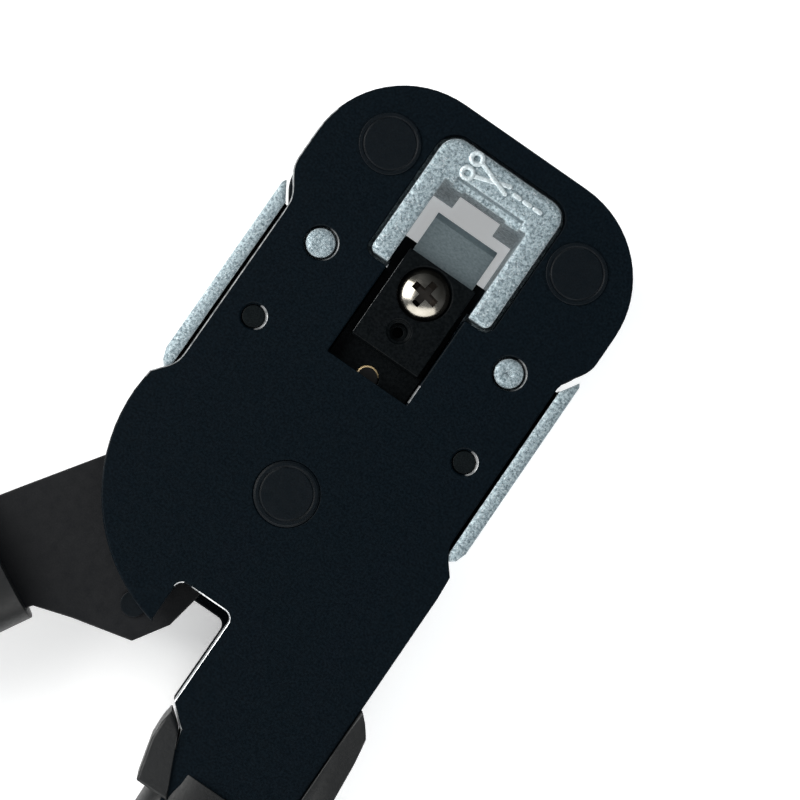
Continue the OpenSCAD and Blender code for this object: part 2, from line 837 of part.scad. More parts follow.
module blade_clamp() {
  color([0.07, 0.075, 0.08]) difference() {
    union() {
      slab(blade_high, clamp_high) box_2d(clamp_left, clamp_right, clamp_bottom, clamp_top);
      slab(ram_high, blade_high) box_2d(clamp_left, clamp_right, clamp_bottom, 25.1);
    }
    translate([0, screw_y, 0]) {
      rod(screw_clearance, ram_high - over, clamp_high + over);
      rod(blade_screw_head + 0.5, clamp_seat, clamp_high + over);
    }
    translate([0, roll_pin_y, 0]) {
      rod(roll_pin_diameter, ram_high - over, clamp_high + over);
      rod(roll_pin_diameter + 0.8, clamp_high - 0.35, clamp_high + over);
    }
  }
}

module blade_screw() {
  rim = clamp_seat + 1.2;
  top = clamp_seat + 1.7;
  color([0.75, 0.76, 0.78]) translate([0, screw_y, 0]) difference() {
    union() {
      rod(screw_shank, screw_tip, clamp_seat + 0.2);
      rod(blade_screw_head, clamp_seat, rim);
      translate([0, 0, rim]) cylinder(d1 = blade_screw_head, d2 = blade_screw_head - 1.6, h = top - rim);
    }
    // the cross recess
    for (a = [0, 90]) rotate(a - 10) slab(top - 1.1, top + over) box_2d(-1.7, 1.7, -0.32, 0.32);
    rod(1.1, top - 1.3, top + over);
  }
}

module clamp_roll_pin() {
  color([0.1, 0.1, 0.11]) translate([0, roll_pin_y, 0]) difference() {
    rod(roll_pin_diameter, roll_pin_low, roll_pin_high);
    rod(roll_pin_diameter - 0.9, roll_pin_low + 0.6, roll_pin_high + over);
  }
}

module cam_roller_pin() {
  color([0.6, 0.55, 0.42]) translate([0, roller_open_distance, 0])
    rod(roller_pin_diameter, ram_low, ram_high);
}

module cam_roller() {
  color([0.6, 0.6, 0.62]) translate([0, roller_open_distance, 0]) difference() {
    rod(2 * roller_radius, lever_low, lever_high);
    rod(roller_pin_diameter + 2 * running_gap, lever_low - over, lever_high + over);
  }
}

// ---- the ratchet pawl ----

module ratchet_pawl() {
  hub = 2.5;
  aim = atan2(-side_pin_pos[0][1], -side_pin_pos[0][0]) - pawl_tilt;
  color([0.45, 0.46, 0.48]) translate([side_pin_pos[0][0], side_pin_pos[0][1], 0]) rotate(aim) difference() {
    slab(lever_low, lever_high) {
      circle(r = hub);
      polygon([[0, -2.2], [pawl_length - 1.9, -1.3], [pawl_length, -0.15], [pawl_length, 0.05],
        [pawl_length - 1.4, 0.9], [0, 0.9]]);
    }
    rod(side_pin_diameter + 2 * running_gap, lever_low - over, lever_high + over);
  }
}

rear_plate();
front_plate();
die_core();
corner_rivets();
main_pivot_rivet();
pawl_pin();
spring_anchor_pin();
leg_spacer();
leg_rivets();
cutter_anvil();
anvil_rivets();
fixed_grip_rear();
fixed_grip_front();
fixed_grip_screws();
fixed_grip_pads();
handle_return_spring();
pawl_spring();
lever_plate();
pivot_bush();
cutter_blade();
cutter_blade_rivets();
moving_grip_rear();
moving_grip_front();
moving_grip_screws();
moving_grip_pads();
ram_block();
contact_punch();
strain_relief_punch();
punch_pins();
trim_blade();
blade_clamp();
blade_screw();
clamp_roll_pin();
cam_roller_pin();
cam_roller();
ratchet_pawl();
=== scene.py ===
import json
import math

import bmesh
import bpy
from mathutils import Matrix, Vector


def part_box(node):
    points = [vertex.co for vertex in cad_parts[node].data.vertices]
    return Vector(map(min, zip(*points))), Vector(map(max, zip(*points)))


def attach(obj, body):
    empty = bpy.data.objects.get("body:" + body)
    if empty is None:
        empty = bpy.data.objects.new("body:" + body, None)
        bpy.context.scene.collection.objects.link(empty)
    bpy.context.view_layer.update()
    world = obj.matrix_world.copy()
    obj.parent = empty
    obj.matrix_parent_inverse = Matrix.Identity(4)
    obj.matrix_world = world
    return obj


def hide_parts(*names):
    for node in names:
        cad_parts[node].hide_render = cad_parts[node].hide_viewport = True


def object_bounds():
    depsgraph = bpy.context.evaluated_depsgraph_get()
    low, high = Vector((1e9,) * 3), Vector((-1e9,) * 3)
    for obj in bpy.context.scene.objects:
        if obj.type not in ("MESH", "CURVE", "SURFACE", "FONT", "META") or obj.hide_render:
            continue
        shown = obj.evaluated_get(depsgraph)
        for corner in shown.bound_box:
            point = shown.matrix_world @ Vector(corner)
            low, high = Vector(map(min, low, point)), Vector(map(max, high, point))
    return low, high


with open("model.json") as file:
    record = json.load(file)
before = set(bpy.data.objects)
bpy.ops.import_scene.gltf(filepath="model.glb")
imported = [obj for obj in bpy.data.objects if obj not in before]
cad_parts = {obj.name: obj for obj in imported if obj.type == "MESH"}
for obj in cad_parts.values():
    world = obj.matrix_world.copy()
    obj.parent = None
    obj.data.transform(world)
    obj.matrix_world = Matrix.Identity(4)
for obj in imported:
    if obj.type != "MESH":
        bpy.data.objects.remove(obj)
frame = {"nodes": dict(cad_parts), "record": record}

MM = 0.001
cad_low, cad_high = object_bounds()
nodes = frame["nodes"]
scene = bpy.context.scene


# ---------------------------------------------------------------- camera and light

plate_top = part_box("rear_plate")[1].z
image_right = Vector((0.8211, 0.5707, 0.0))
image_up = Vector((-0.5707, 0.8211, 0.0))
look_at = Vector((4.8 * MM, 17.1 * MM, plate_top))
look_along = Vector((0.03, 0.093, -1.0)).normalized()
camera_distance = 0.34
frame_width = 96.4 * MM

cam_data = bpy.data.cameras.new("camera")
camera = bpy.data.objects.new("camera", cam_data)
scene.collection.objects.link(camera)
back = -look_along
right = (image_right - image_right.dot(back) * back).normalized()
up = back.cross(right)
basis = Matrix((right, up, back)).transposed().to_4x4()
camera.matrix_world = Matrix.Translation(look_at + back * camera_distance) @ basis
cam_data.sensor_width = 36.0
cam_data.lens = 36.0 * camera_distance / frame_width
cam_data.clip_start = 0.01
cam_data.clip_end = 20.0
scene.camera = camera


def area_light(name, toward, distance, size, power, colour=(1.0, 1.0, 1.0)):
    data = bpy.data.lights.new(name, "AREA")
    data.shape = "RECTANGLE"
    data.size, data.size_y = size
    data.energy = power
    data.color = colour
    light = bpy.data.objects.new(name, data)
    aim = Vector(toward).normalized()
    light.location = look_at + aim * distance
    light.rotation_mode = "QUATERNION"
    light.rotation_quaternion = (-aim).to_track_quat("-Z", "Y")
    scene.collection.objects.link(light)
    return light


def from_image(across, upward, height):
    """A direction given across and up the picture, and out of it."""
    return image_right * across + image_up * upward + Vector((0, 0, height))


area_light("key", from_image(-0.9, 0.45, 0.8), 0.5, (0.42, 0.34), 3.4, (1.0, 0.99, 0.97))
side = area_light("side", from_image(1.0, 0.15, 0.6), 0.6, (0.4, 0.18), 1.9, (0.94, 0.98, 1.0))
side.visible_glossy = False
area_light("rim", from_image(-0.15, -1.0, 0.6), 0.5, (0.9, 0.42), 2.9, (1.0, 0.985, 0.96))


def studio(bright_side, weak, strong):
    """A plain surround that is brighter on one side."""
    world = bpy.data.worlds.new("studio")
    world.use_nodes = True
    tree = world.node_tree
    background = tree.nodes["Background"]
    background.inputs["Color"].default_value = (0.9, 0.95, 1.0, 1.0)
    where = tree.nodes.new("ShaderNodeTexCoord")
    dot = tree.nodes.new("ShaderNodeVectorMath")
    dot.operation = "DOT_PRODUCT"
    dot.inputs[1].default_value = bright_side
    tree.links.new(where.outputs["Generated"], dot.inputs[0])
    ramp = tree.nodes.new("ShaderNodeMapRange")
    ramp.inputs["From Min"].default_value = -1.0
    ramp.inputs["To Min"].default_value = weak
    ramp.inputs["To Max"].default_value = strong
    tree.links.new(dot.outputs["Value"], ramp.inputs["Value"])
    tree.links.new(ramp.outputs["Result"], background.inputs["Strength"])
    scene.world = world


studio(from_image(-0.75, -0.65, 0.0), 0.02, 0.46)
scene.view_settings.view_transform = "Standard"


# ---------------------------------------------------------------- materials

# the grooves beside the side strips, where painted shade goes: how far out they are, and how far below the
# plates' faces they start
GROOVE = (19.3, 20.16)
GROOVE_SINK = 0.35
# the bare steel and painted highlight zones are only above this share of the height
REAR_SIDE = 0.8


class Shade:
    """A node material with a few shorthand calls."""

    def __init__(self, name):
        self.mat = bpy.data.materials.new(name)
        self.mat.use_nodes = True
        self.tree = self.mat.node_tree
        self.bsdf = self.tree.nodes["Principled BSDF"]
        where = self.tree.nodes.new("ShaderNodeTexCoord")
        self.coords = where.outputs["Object"]
        self.normals = where.outputs["Normal"]

    def link(self, out, into):
        self.tree.links.new(out, into)

    def put(self, socket, value):
        if isinstance(value, bpy.types.NodeSocket):
            self.link(value, socket)
        else:
            socket.default_value = value

    def noise(self, scale, detail=3.0, roughness=0.55, stretch=None):
        where = self.coords
        if stretch:
            mapping = self.tree.nodes.new("ShaderNodeMapping")
            mapping.inputs["Scale"].default_value = stretch
            self.link(where, mapping.inputs["Vector"])
            where = mapping.outputs["Vector"]
        node = self.tree.nodes.new("ShaderNodeTexNoise")
        node.inputs["Scale"].default_value = scale
        node.inputs["Detail"].default_value = detail
        node.inputs["Roughness"].default_value = roughness
        self.link(where, node.inputs["Vector"])
        return node.outputs["Fac"]

    def ramp(self, value, low, high, to_low=0.0, to_high=1.0):
        node = self.tree.nodes.new("ShaderNodeMapRange")
        node.inputs["From Min"].default_value = low
        node.inputs["From Max"].default_value = high
        node.inputs["To Min"].default_value = to_low
        node.inputs["To Max"].default_value = to_high
        self.link(value, node.inputs["Value"])
        return node.outputs["Result"]

    def math(self, kind, a, b=0.0):
        node = self.tree.nodes.new("ShaderNodeMath")
        node.operation = kind
        self.put(node.inputs[0], a)
        self.put(node.inputs[1], b)
        return node.outputs[0]

    def vector(self, kind, a, b):
        """A vector operation on two vectors, which gives a number for DOT_PRODUCT and DISTANCE."""
        node = self.tree.nodes.new("ShaderNodeVectorMath")
        node.operation = kind
        self.put(node.inputs[0], a)
        self.put(node.inputs[1], b)
        return node.outputs["Vector" if kind == "MULTIPLY" else "Value"]

    def split(self, vector):
        """The x, y and z of a vector."""
        node = self.tree.nodes.new("ShaderNodeSeparateXYZ")
        self.link(vector, node.inputs[0])
        return node.outputs

    def mix(self, amount, a, b):
        node = self.tree.nodes.new("ShaderNodeMix")
        node.data_type = "RGBA"
        self.put(node.inputs["Factor"], amount)
        self.put(node.inputs[6], a)
        self.put(node.inputs[7], b)
        return node.outputs[2]

    def edges(self, width, low=0.02, high=0.25):
        """1 on sharp edges and 0 on flat faces."""
        bevel = self.tree.nodes.new("ShaderNodeBevel")
        bevel.samples = 4
        bevel.inputs["Radius"].default_value = width
        geometry = self.tree.nodes.new("ShaderNodeNewGeometry")
        agreement = self.vector("DOT_PRODUCT", bevel.outputs["Normal"], geometry.outputs["Normal"])
        return self.ramp(self.math("SUBTRACT", 1.0, agreement), low, high)

    def zone(self, x0, x1, y0, y1, facing=None):
        """1 on sloped faces of the rear side inside a box, in millimetres, if they face the given way."""
        at, tilt = self.split(self.coords), self.split(self.normals)
        inside = self.math("LESS_THAN", self.math("ABSOLUTE", tilt[2]), 0.93)
        inside = self.math("MULTIPLY", inside, self.math("GREATER_THAN", at[2], REAR_SIDE * plate_top))
        for axis, low, high in ((0, x0, x1), (1, y0, y1)):
            inside = self.math("MULTIPLY", inside, self.math("GREATER_THAN", at[axis], low * MM))
            inside = self.math("MULTIPLY", inside, self.math("LESS_THAN", at[axis], high * MM))
        if facing:
            inside = self.math("MULTIPLY", inside, self.faces(facing, 0.25, 0.55))
        return inside

    def faces(self, direction, low, high):
        """0 to 1, by how much a face turns to a level direction."""
        toward = (direction[0], direction[1], 0.0)
        return self.ramp(self.vector("DOT_PRODUCT", self.normals, toward), low, high)

    def groove_shade(self):
        """Where painted shade goes: 1 beside the side strips, below the plates' outer faces and inside the
        strips' outer part.
        """
        at = self.split(self.coords)
        across = self.math("ABSOLUTE", at[0])
        inside = self.math("MULTIPLY", self.math("GREATER_THAN", across, GROOVE[0] * MM),
                           self.math("LESS_THAN", across, GROOVE[1] * MM))
        depth = self.math("ABSOLUTE", self.math("SUBTRACT", at[2], plate_top / 2))
        return self.math("MULTIPLY", inside, self.math("LESS_THAN", depth, plate_top / 2 - GROOVE_SINK * MM))

    def slopes(self):
        """0 on level faces and 1 on all others."""
        return self.math("LESS_THAN", self.math("ABSOLUTE", self.split(self.normals)[2]), 0.97)

    def round_edges(self, width):
        """A normal that looks rounded near sharp edges."""
        node = self.tree.nodes.new("ShaderNodeBevel")
        node.samples = 6
        node.inputs["Radius"].default_value = width
        return node.outputs["Normal"]

    def bump(self, height, distance, strength=1.0, normal=None):
        node = self.tree.nodes.new("ShaderNodeBump")
        if normal:
            self.link(normal, node.inputs["Normal"])
        node.inputs["Strength"].default_value = strength
        node.inputs["Distance"].default_value = distance
        self.link(height, node.inputs["Height"])
        self.link(node.outputs["Normal"], self.bsdf.inputs["Normal"])

    def finish(self, colour, rough, metallic=0.0, specular=0.5):
        self.put(self.bsdf.inputs["Base Color"], colour)
        self.put(self.bsdf.inputs["Roughness"], rough)
        self.put(self.bsdf.inputs["Metallic"], metallic)
        self.bsdf.inputs["Specular IOR Level"].default_value = specular
        return self.mat


def rgba(r, g, b):
    return (r, g, b, 1.0)


ALONG_X = (0.15, 6.0, 6.0)
ALONG_Y = (6.0, 0.15, 6.0)
ROUND = (1.0, 1.0, 5.0)


def paint(name, dark, light, wear, specular=0.35, grain=5200.0, bare_and_highlights=()):
    """Thin black paint or oxide, worn at the edges, with bare steel and painted highlights in the given
    zones.
    """
    s = Shade(name)
    fine = s.noise(grain, 3.0, 0.65)
    colour = s.mix(s.ramp(fine, 0.38, 0.62), rgba(*dark), rgba(*light))
    rubbed = s.math("MULTIPLY", s.edges(0.00012), s.ramp(s.noise(420.0, 4.0), 0.45, 0.62))
    colour = s.mix(rubbed, colour, rgba(*wear))
    rough = s.ramp(s.noise(900.0, 3.0), 0.3, 0.7, 0.40, 0.50)
    # steel is the mask of bare steel and of painted highlights, both drawn as bright metallic steel
    steel = 0.0
    for amount, facing, box in bare_and_highlights:
        steel = s.math("MAXIMUM", s.math("MULTIPLY", s.zone(*box, facing), amount), steel)
    if bare_and_highlights:
        shear = s.ramp(s.noise(1500.0, 4.0, 0.6, (1.0, 1.0, 0.25)), 0.35, 0.62)
        colour = s.mix(steel, colour, s.mix(shear, rgba(0.36, 0.38, 0.39), rgba(0.88, 0.90, 0.91)))
        rough = s.math("MULTIPLY", rough, s.ramp(steel, 0.0, 1.0, 1.0, 0.75))
    s.bump(fine, 0.000012, 0.6)
    return s.finish(colour, rough, steel, specular)


def cast(name, dark, light, rounding=0.0012):
    """Bare die-cast metal: grainy, with rounded edges that carry a painted highlight, and painted shade in
    the grooves beside the strips.
    """
    s = Shade(name)
    grain = s.noise(2600.0, 6.0, 0.8)
    speckle = s.ramp(grain, 0.40, 0.60)
    glint = s.ramp(s.noise(4200.0, 3.0, 0.7), 0.58, 0.66)
    colour = s.mix(speckle, rgba(*dark), rgba(*light))
    colour = s.mix(s.math("MULTIPLY", glint, 0.6), colour, rgba(0.86, 0.91, 0.93))
    # a painted highlight: brighter colour on the edges
    bright = s.math("MULTIPLY", s.edges(0.00025, 0.02, 0.25), 0.5)
    colour = s.mix(bright, colour, rgba(0.86, 0.91, 0.93))
    # painted shade: near black in the grooves beside the side strips
    colour = s.mix(s.groove_shade(), colour, rgba(0.004, 0.005, 0.006))
    rough = s.ramp(speckle, 0.0, 1.0, 0.55, 0.34)
    s.bump(grain, 0.00008, 0.8, s.round_edges(rounding))
    return s.finish(colour, rough, 0.6, 0.5)


def ground(name, dark, light, rough_low, rough_high, stretch, metallic=0.9, rim=(0.75, 0.77, 0.78)):
    """Machined steel: fine lines along the way it was ground, and a bright rim."""
    s = Shade(name)
    lines = s.noise(900.0, 4.0, 0.6, stretch)
    colour = s.mix(s.ramp(lines, 0.3, 0.7), rgba(*dark), rgba(*light))
    colour = s.mix(s.math("MULTIPLY", s.edges(0.00008), 0.7), colour, rgba(*rim))
    rough = s.ramp(lines, 0.3, 0.7, rough_low, rough_high)
    s.bump(lines, 0.000008, 0.5)
    return s.finish(colour, rough, metallic)


def pin_with_glint(name, face, glint_tint):
    """A dark pin with a painted straw coloured glint on one side of its turned rim."""
    s = Shade(name)
    lines = s.noise(1400.0, 3.0, 0.6, ROUND)
    # painted glint: straw colour on the rim's faces that turn one way
    colour = s.mix(s.math("MULTIPLY", s.slopes(), s.faces((-0.3, 0.95), 0.1, 0.4)), rgba(*face), rgba(*glint_tint))
    s.bump(lines, 0.000008, 0.5)
    return s.finish(colour, s.ramp(lines, 0.3, 0.7, 0.3, 0.42), 0.5)


def plated(name, dark, light, recess_shade, dome):
    """Bright plating, painted darker inside the recess as shade and rougher there; the recess is the part
    well inside the domed face.
    """
    centre, ball, reach = dome
    s = Shade(name)
    lines = s.noise(900.0, 4.0, 0.6, ROUND)
    cloud = s.ramp(s.noise(700.0, 4.0, 0.6), 0.35, 0.65)
    colour = s.mix(cloud, rgba(*dark), rgba(*light))
    gap = s.vector("DISTANCE", s.coords, centre)
    flat = s.vector("MULTIPLY", s.coords, (1.0, 1.0, 0.0))
    radial = s.vector("DISTANCE", flat, (centre[0], centre[1], 0.0))
    inside = s.ramp(gap, ball - 0.10 * MM, ball - 0.05 * MM, 1.0, 0.0)
    inside = s.math("MULTIPLY", inside, s.math("LESS_THAN", radial, reach))
    # painted shade: darker colour inside the recess
    colour = s.mix(inside, colour, rgba(*recess_shade))
    rough = s.math("ADD", s.ramp(cloud, 0.0, 1.0, 0.16, 0.24), s.math("MULTIPLY", inside, 0.12))
    s.bump(lines, 0.000008, 0.5)
    return s.finish(colour, rough, 1.0)


def plastic(name, dark, light, rough=0.5, grain=2400.0, depth=0.00003):
    """Moulded plastic with a fine spark texture and lighter edges."""
    s = Shade(name)
    spark = s.noise(grain, 4.0, 0.65)
    cloud = s.ramp(s.noise(90.0, 3.0), 0.35, 0.65)
    colour = s.mix(cloud, rgba(*dark), rgba(*light))
    shine = s.edges(0.0003, 0.01, 0.2)
    colour = s.mix(s.math("MULTIPLY", shine, 0.25), colour, rgba(*[c * 2.2 + 0.01 for c in light]))
    s.bump(spark, depth, 0.6)
    return s.finish(colour, s.ramp(spark, 0.3, 0.7, rough - 0.06, rough + 0.08), 0.0, 0.4)


def middle(node):
    """The middle of a node's box seen from above, in millimetres."""
    low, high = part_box(node)
    return (low.x + high.x) / 2 / MM, (low.y + high.y) / 2 / MM


def hole_highlight(place, radius, amount):
    """A painted highlight on the right hand side of a hole in the plates, the side that faces the light."""
    x, y = place
    reach = radius + RIM_WIDTH
    return (amount, (-0.95, -0.32), (x, x + reach, y - reach, y + reach))


# places on the rear plate, in millimetres
SLOT_LEFT, SLOT_RIGHT, SLOT_TOP = -5.0, 3.0, -15.6
SLOT_BRIGHT = -2.0
SHOULDER = -36.4
SIDE_NOTCH = 19.7
BEZEL_EDGE = 9.9
BOSS_X, BOSS_Y = 13.85, 27.3
BOSS_HOLE, PIN_HOLE = 2.1, 1.6
RAM_SLOT_CORNER = (5.0, 6.2, 17.4, 19.9)
CLAMP_TOP = 31.4
RIM_WIDTH = 0.5
MARGIN = 0.6

# where the black is shown as bare steel, and where painted highlights stand on edges that face the light: how
# much, the way the face looks, and its box
clamp_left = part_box("blade_clamp")[0]
# a painted highlight along the blade clamp's left edge
CLAMP_HIGHLIGHT = [
    (0.22, None, (clamp_left.x / MM - 0.1, clamp_left.x / MM + 0.35, clamp_left.y / MM + 0.2, CLAMP_TOP)),
]
PLATE_BARE_AND_HIGHLIGHTS = [
    # the cable slot and its shoulder: bare sheared steel that is also a painted highlight, kept to the walls
    # and corners that catch the light
    (1.0, None, (SLOT_BRIGHT, SLOT_RIGHT + 3.4, SHOULDER, SLOT_TOP + MARGIN)),
    (0.35, None, (SLOT_BRIGHT - 1.0, SLOT_BRIGHT, SLOT_TOP - MARGIN, SLOT_TOP + MARGIN)),
    (0.8, None, (SLOT_LEFT, SLOT_LEFT + 0.9, SLOT_TOP - 1.0, SLOT_TOP + MARGIN)),
    # painted highlights on a corner of the ram's slot, on the notch on the left and on the bezel's opening
    (0.25, None, RAM_SLOT_CORNER),
    (0.35, (-1.0, 0.0), (-SIDE_NOTCH - 4.0, -SIDE_NOTCH + 0.7, 2.0, 42.0)),
    (0.10, (-1.0, 0.0), (BEZEL_EDGE - 0.3, BEZEL_EDGE + 1.0, 27.0, 47.0)),
    # painted highlights on the lit side of the holes of the bosses and the side pins
    hole_highlight((-BOSS_X, BOSS_Y), BOSS_HOLE, 0.3),
    hole_highlight((BOSS_X, BOSS_Y), BOSS_HOLE, 0.3),
    hole_highlight(middle("pawl_pin"), PIN_HOLE, 0.6),
    hole_highlight(middle("spring_anchor_pin"), PIN_HOLE, 0.6),
]

# the blade screw: its head's radius and height, how much of that is dome, and its shank's radius
screw_low, screw_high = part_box("blade_screw")
HEAD = 3.09 * MM
HEAD_HEIGHT = 1.7 * MM
DOME = 1.2 * MM
SHANK = 1.49 * MM
RECESS_REACH = 2.3 * MM
BALL = (HEAD ** 2 + DOME ** 2) / (2 * DOME)
screw_centre = Vector(((screw_low.x + screw_high.x) / 2, (screw_low.y + screw_high.y) / 2, 0))
SCREW_DOME = ((screw_centre.x, screw_centre.y, screw_high.z - BALL), BALL, RECESS_REACH)

materials = {
    "plate_black": paint("plate_black", (0.0006, 0.0020, 0.0034), (0.0022, 0.0050, 0.0076),
                         (0.018, 0.022, 0.026), 0.06, 3400.0, PLATE_BARE_AND_HIGHLIGHTS),
    "rivet_black": paint("rivet_black", (0.0008, 0.0020, 0.0032), (0.0024, 0.0046, 0.0066),
                         (0.03, 0.035, 0.04), 0.12),
    "pin_black": paint("pin_black", (0.0008, 0.0018, 0.0024), (0.0030, 0.0050, 0.0058),
                       (0.05, 0.055, 0.06), 0.10),
    "lever_black": paint("lever_black", (0.003, 0.0035, 0.0045), (0.006, 0.0065, 0.0075),
                         (0.10, 0.10, 0.10), 0.22),
    "ram_black": paint("ram_black", (0.0008, 0.0014, 0.0018), (0.0030, 0.0040, 0.0046),
                       (0.12, 0.13, 0.14), 0.05, 3000.0, CLAMP_HIGHLIGHT),
    "cast_zinc": cast("cast_zinc", (0.09, 0.13, 0.15), (0.45, 0.545, 0.585)),
    "cast_raised": cast("cast_raised", (0.38, 0.45, 0.47), (0.74, 0.82, 0.85), 0.00015),
    "spacer_steel": ground("spacer_steel", (0.22, 0.23, 0.24), (0.36, 0.37, 0.38), 0.35, 0.5, ALONG_Y),
    "tool_steel": ground("tool_steel", (0.42, 0.44, 0.45), (0.6, 0.62, 0.63), 0.22, 0.38, ALONG_X),
    "blade_steel": ground("blade_steel", (0.075, 0.10, 0.11), (0.13, 0.16, 0.17), 0.34, 0.46,
                          (3.0, 5.0, 5.0), 0.4),
    "spring_steel": ground("spring_steel", (0.4, 0.41, 0.42), (0.62, 0.63, 0.64), 0.2, 0.32, ROUND),
    "pawl_steel": ground("pawl_steel", (0.26, 0.27, 0.28), (0.42, 0.43, 0.44), 0.28, 0.42, ALONG_Y),
    # a painted straw coloured glint on one side of the pin's rim
    "pin_steel": pin_with_glint("pin_steel", (0.006, 0.006, 0.006), (1.0, 0.76, 0.42)),
    "bush_bronze": ground("bush_bronze", (0.42, 0.28, 0.11), (0.60, 0.42, 0.19), 0.3, 0.45, ROUND),
    "zinc_screw": ground("zinc_screw", (0.42, 0.43, 0.44), (0.6, 0.61, 0.62), 0.22, 0.36, ROUND),
    "screw_nickel": plated("screw_nickel", (0.25, 0.235, 0.20), (0.36, 0.34, 0.30),
                           (0.09, 0.08, 0.07), SCREW_DOME),
    "grip_black": plastic("grip_black", (0.0016, 0.0022, 0.0026), (0.0042, 0.0050, 0.0056), 0.5),
    "grip_pad": plastic("grip_pad", (0.040, 0.043, 0.046), (0.055, 0.058, 0.061), 0.72, 1700.0, 0.00005),
}


# ---------------------------------------------------------------- CAD nodes that stay

# in millimetres; the core's is under the 0.1 mm that the trim blade keeps from the end of its pocket
EDGE = {
    "rear_plate": 0.22, "front_plate": 0.22, "die_core": 0.09, "corner_rivets": 0.08,
    "main_pivot_rivet": 0.08, "pawl_pin": 0.15, "spring_anchor_pin": 0.15, "leg_spacer": 0.15,
    "leg_rivets": 0.1, "cutter_anvil": 0.12, "anvil_rivets": 0.1, "lever_plate": 0.18,
    "pivot_bush": 0.1, "cutter_blade": 0.06, "cutter_blade_rivets": 0.1, "ram_block": 0.12,
    "contact_punch": 0.05, "strain_relief_punch": 0.08, "punch_pins": 0.06, "trim_blade": 0.03,
    "blade_clamp": 0.16, "clamp_roll_pin": 0.08, "cam_roller_pin": 0.35, "cam_roller": 0.15,
    "ratchet_pawl": 0.12,
}


def soften(obj, width):
    """Rounds a solid's sharp edges, and shades it smooth."""
    weld = obj.modifiers.new("weld", "WELD")
    weld.merge_threshold = 6e-6
    flat = obj.modifiers.new("flat", "DECIMATE")
    flat.decimate_type = "DISSOLVE"
    flat.angle_limit = math.radians(0.3)
    bevel = obj.modifiers.new("bevel", "BEVEL")
    bevel.width = width * MM
    bevel.segments = 2
    bevel.limit_method = "ANGLE"
    bevel.angle_limit = math.radians(38)
    bevel.use_clamp_overlap = False
    bevel.miter_outer = "MITER_SHARP"
    weighted = obj.modifiers.new("weighted", "WEIGHTED_NORMAL")
    weighted.keep_sharp = False


slots = {s["node"]: s["material_slot"] for s in frame["record"]["subparts"]}
for node, width in EDGE.items():
    obj = nodes[node]
    for i in range(len(obj.material_slots)):
        obj.material_slots[i].link = "OBJECT"
        obj.material_slots[i].material = materials[slots[node]]
    soften(obj, width)


# ---------------------------------------------------------------- mesh helpers

def raw_object(name, bm):
    """A scene object from a mesh, with no material, body or slot."""
    bmesh.ops.recalc_face_normals(bm, faces=bm.faces)
    mesh = bpy.data.meshes.new(name)
    bm.to_mesh(mesh)
    bm.free()
    obj = bpy.data.objects.new(name, mesh)
    scene.collection.objects.link(obj)
    return obj


def smooth(obj):
    for p in obj.data.polygons:
        p.use_smooth = True


def new_piece(name, bm, material, body):
    """A smooth shaded piece with its material, which rides a body."""
    obj = raw_object(name, bm)
    smooth(obj)
    obj.data.materials.append(materials[material])
    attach(obj, body)
    return obj


def prism(bm, outline, low, high, rounding, segments=3):
    """A straight solid on an outline, with its rims rounded."""
    bottom = [bm.verts.new((x, y, low)) for x, y in outline]
    top = [bm.verts.new((x, y, high)) for x, y in outline]
    count = len(outline)
    bm.faces.new(bottom[::-1])
    bm.faces.new(top)
    for i in range(count):
        j = (i + 1) % count
        bm.faces.new((bottom[i], bottom[j], top[j], top[i]))
    bm.edges.ensure_lookup_table()
    rims = []
    for ring in (bottom, top):
        for i in range(count):
            rims.append(bm.edges.get((ring[i], ring[(i + 1) % count])))
    bmesh.ops.bevel(bm, geom=rims, offset=rounding, segments=segments, profile=0.5, affect="EDGES")


def tube(bm, path, radius, sides=14):
    """A round wire along a path, with closed ends."""
    rings = []
    side = None
    for i, p in enumerate(path):
        ahead = (path[min(i + 1, len(path) - 1)] - path[max(i - 1, 0)]).normalized()
        if side is None:
            side = ahead.cross(Vector((0, 0, 1)))
            if side.length < 1e-6:
                side = Vector((1, 0, 0))
        side = (side - side.dot(ahead) * ahead).normalized()
        other = ahead.cross(side)
        rings.append([bm.verts.new(p + radius * (math.cos(t) * side + math.sin(t) * other))
                      for t in (2 * math.pi * k / sides for k in range(sides))])
    for a, b in zip(rings, rings[1:]):
        for k in range(sides):
            m = (k + 1) % sides
            bm.faces.new((a[k], a[m], b[m], b[k]))
    bm.faces.new(rings[0][::-1])
    bm.faces.new(rings[-1])


def lathe(bm, profile, centre, steps=48):
    """Spins (radius, height) points about an upright axis."""
    rings = []
    for r, z in profile:
        if r < 1e-9:
            rings.append([bm.verts.new((centre.x, centre.y, z))])
        else:
            rings.append([bm.verts.new((centre.x + r * math.cos(t), centre.y + r * math.sin(t), z))
                          for t in (2 * math.pi * k / steps for k in range(steps))])
    for a, b in zip(rings, rings[1:]):
        for k in range(steps):
            m = (k + 1) % steps
            if len(a) == 1:
                bm.faces.new((a[0], b[k], b[m]))
            elif len(b) == 1:
                bm.faces.new((a[k], a[m], b[0]))
            else:
                bm.faces.new((a[k], a[m], b[m], b[k]))


def cut(obj, cutter):
    """Cuts cutter out of obj for good, and removes it."""
    mod = obj.modifiers.new("cut", "BOOLEAN")
    mod.operation = "DIFFERENCE"
    mod.solver = "EXACT"
    mod.object = cutter
    dg = bpy.context.evaluated_depsgraph_get()
    mesh = bpy.data.meshes.new_from_object(obj.evaluated_get(dg))
    obj.modifiers.remove(mod)
    old = obj.data
    obj.data = mesh
    mesh.name = old.name
    bpy.data.meshes.remove(old)
    bpy.data.objects.remove(cutter)


def crisp(obj):
    """Smooth shading, broken at clear edges."""
    smooth(obj)
    obj.data.set_sharp_from_angle(angle=math.radians(32))


# ---------------------------------------------------------------- handles

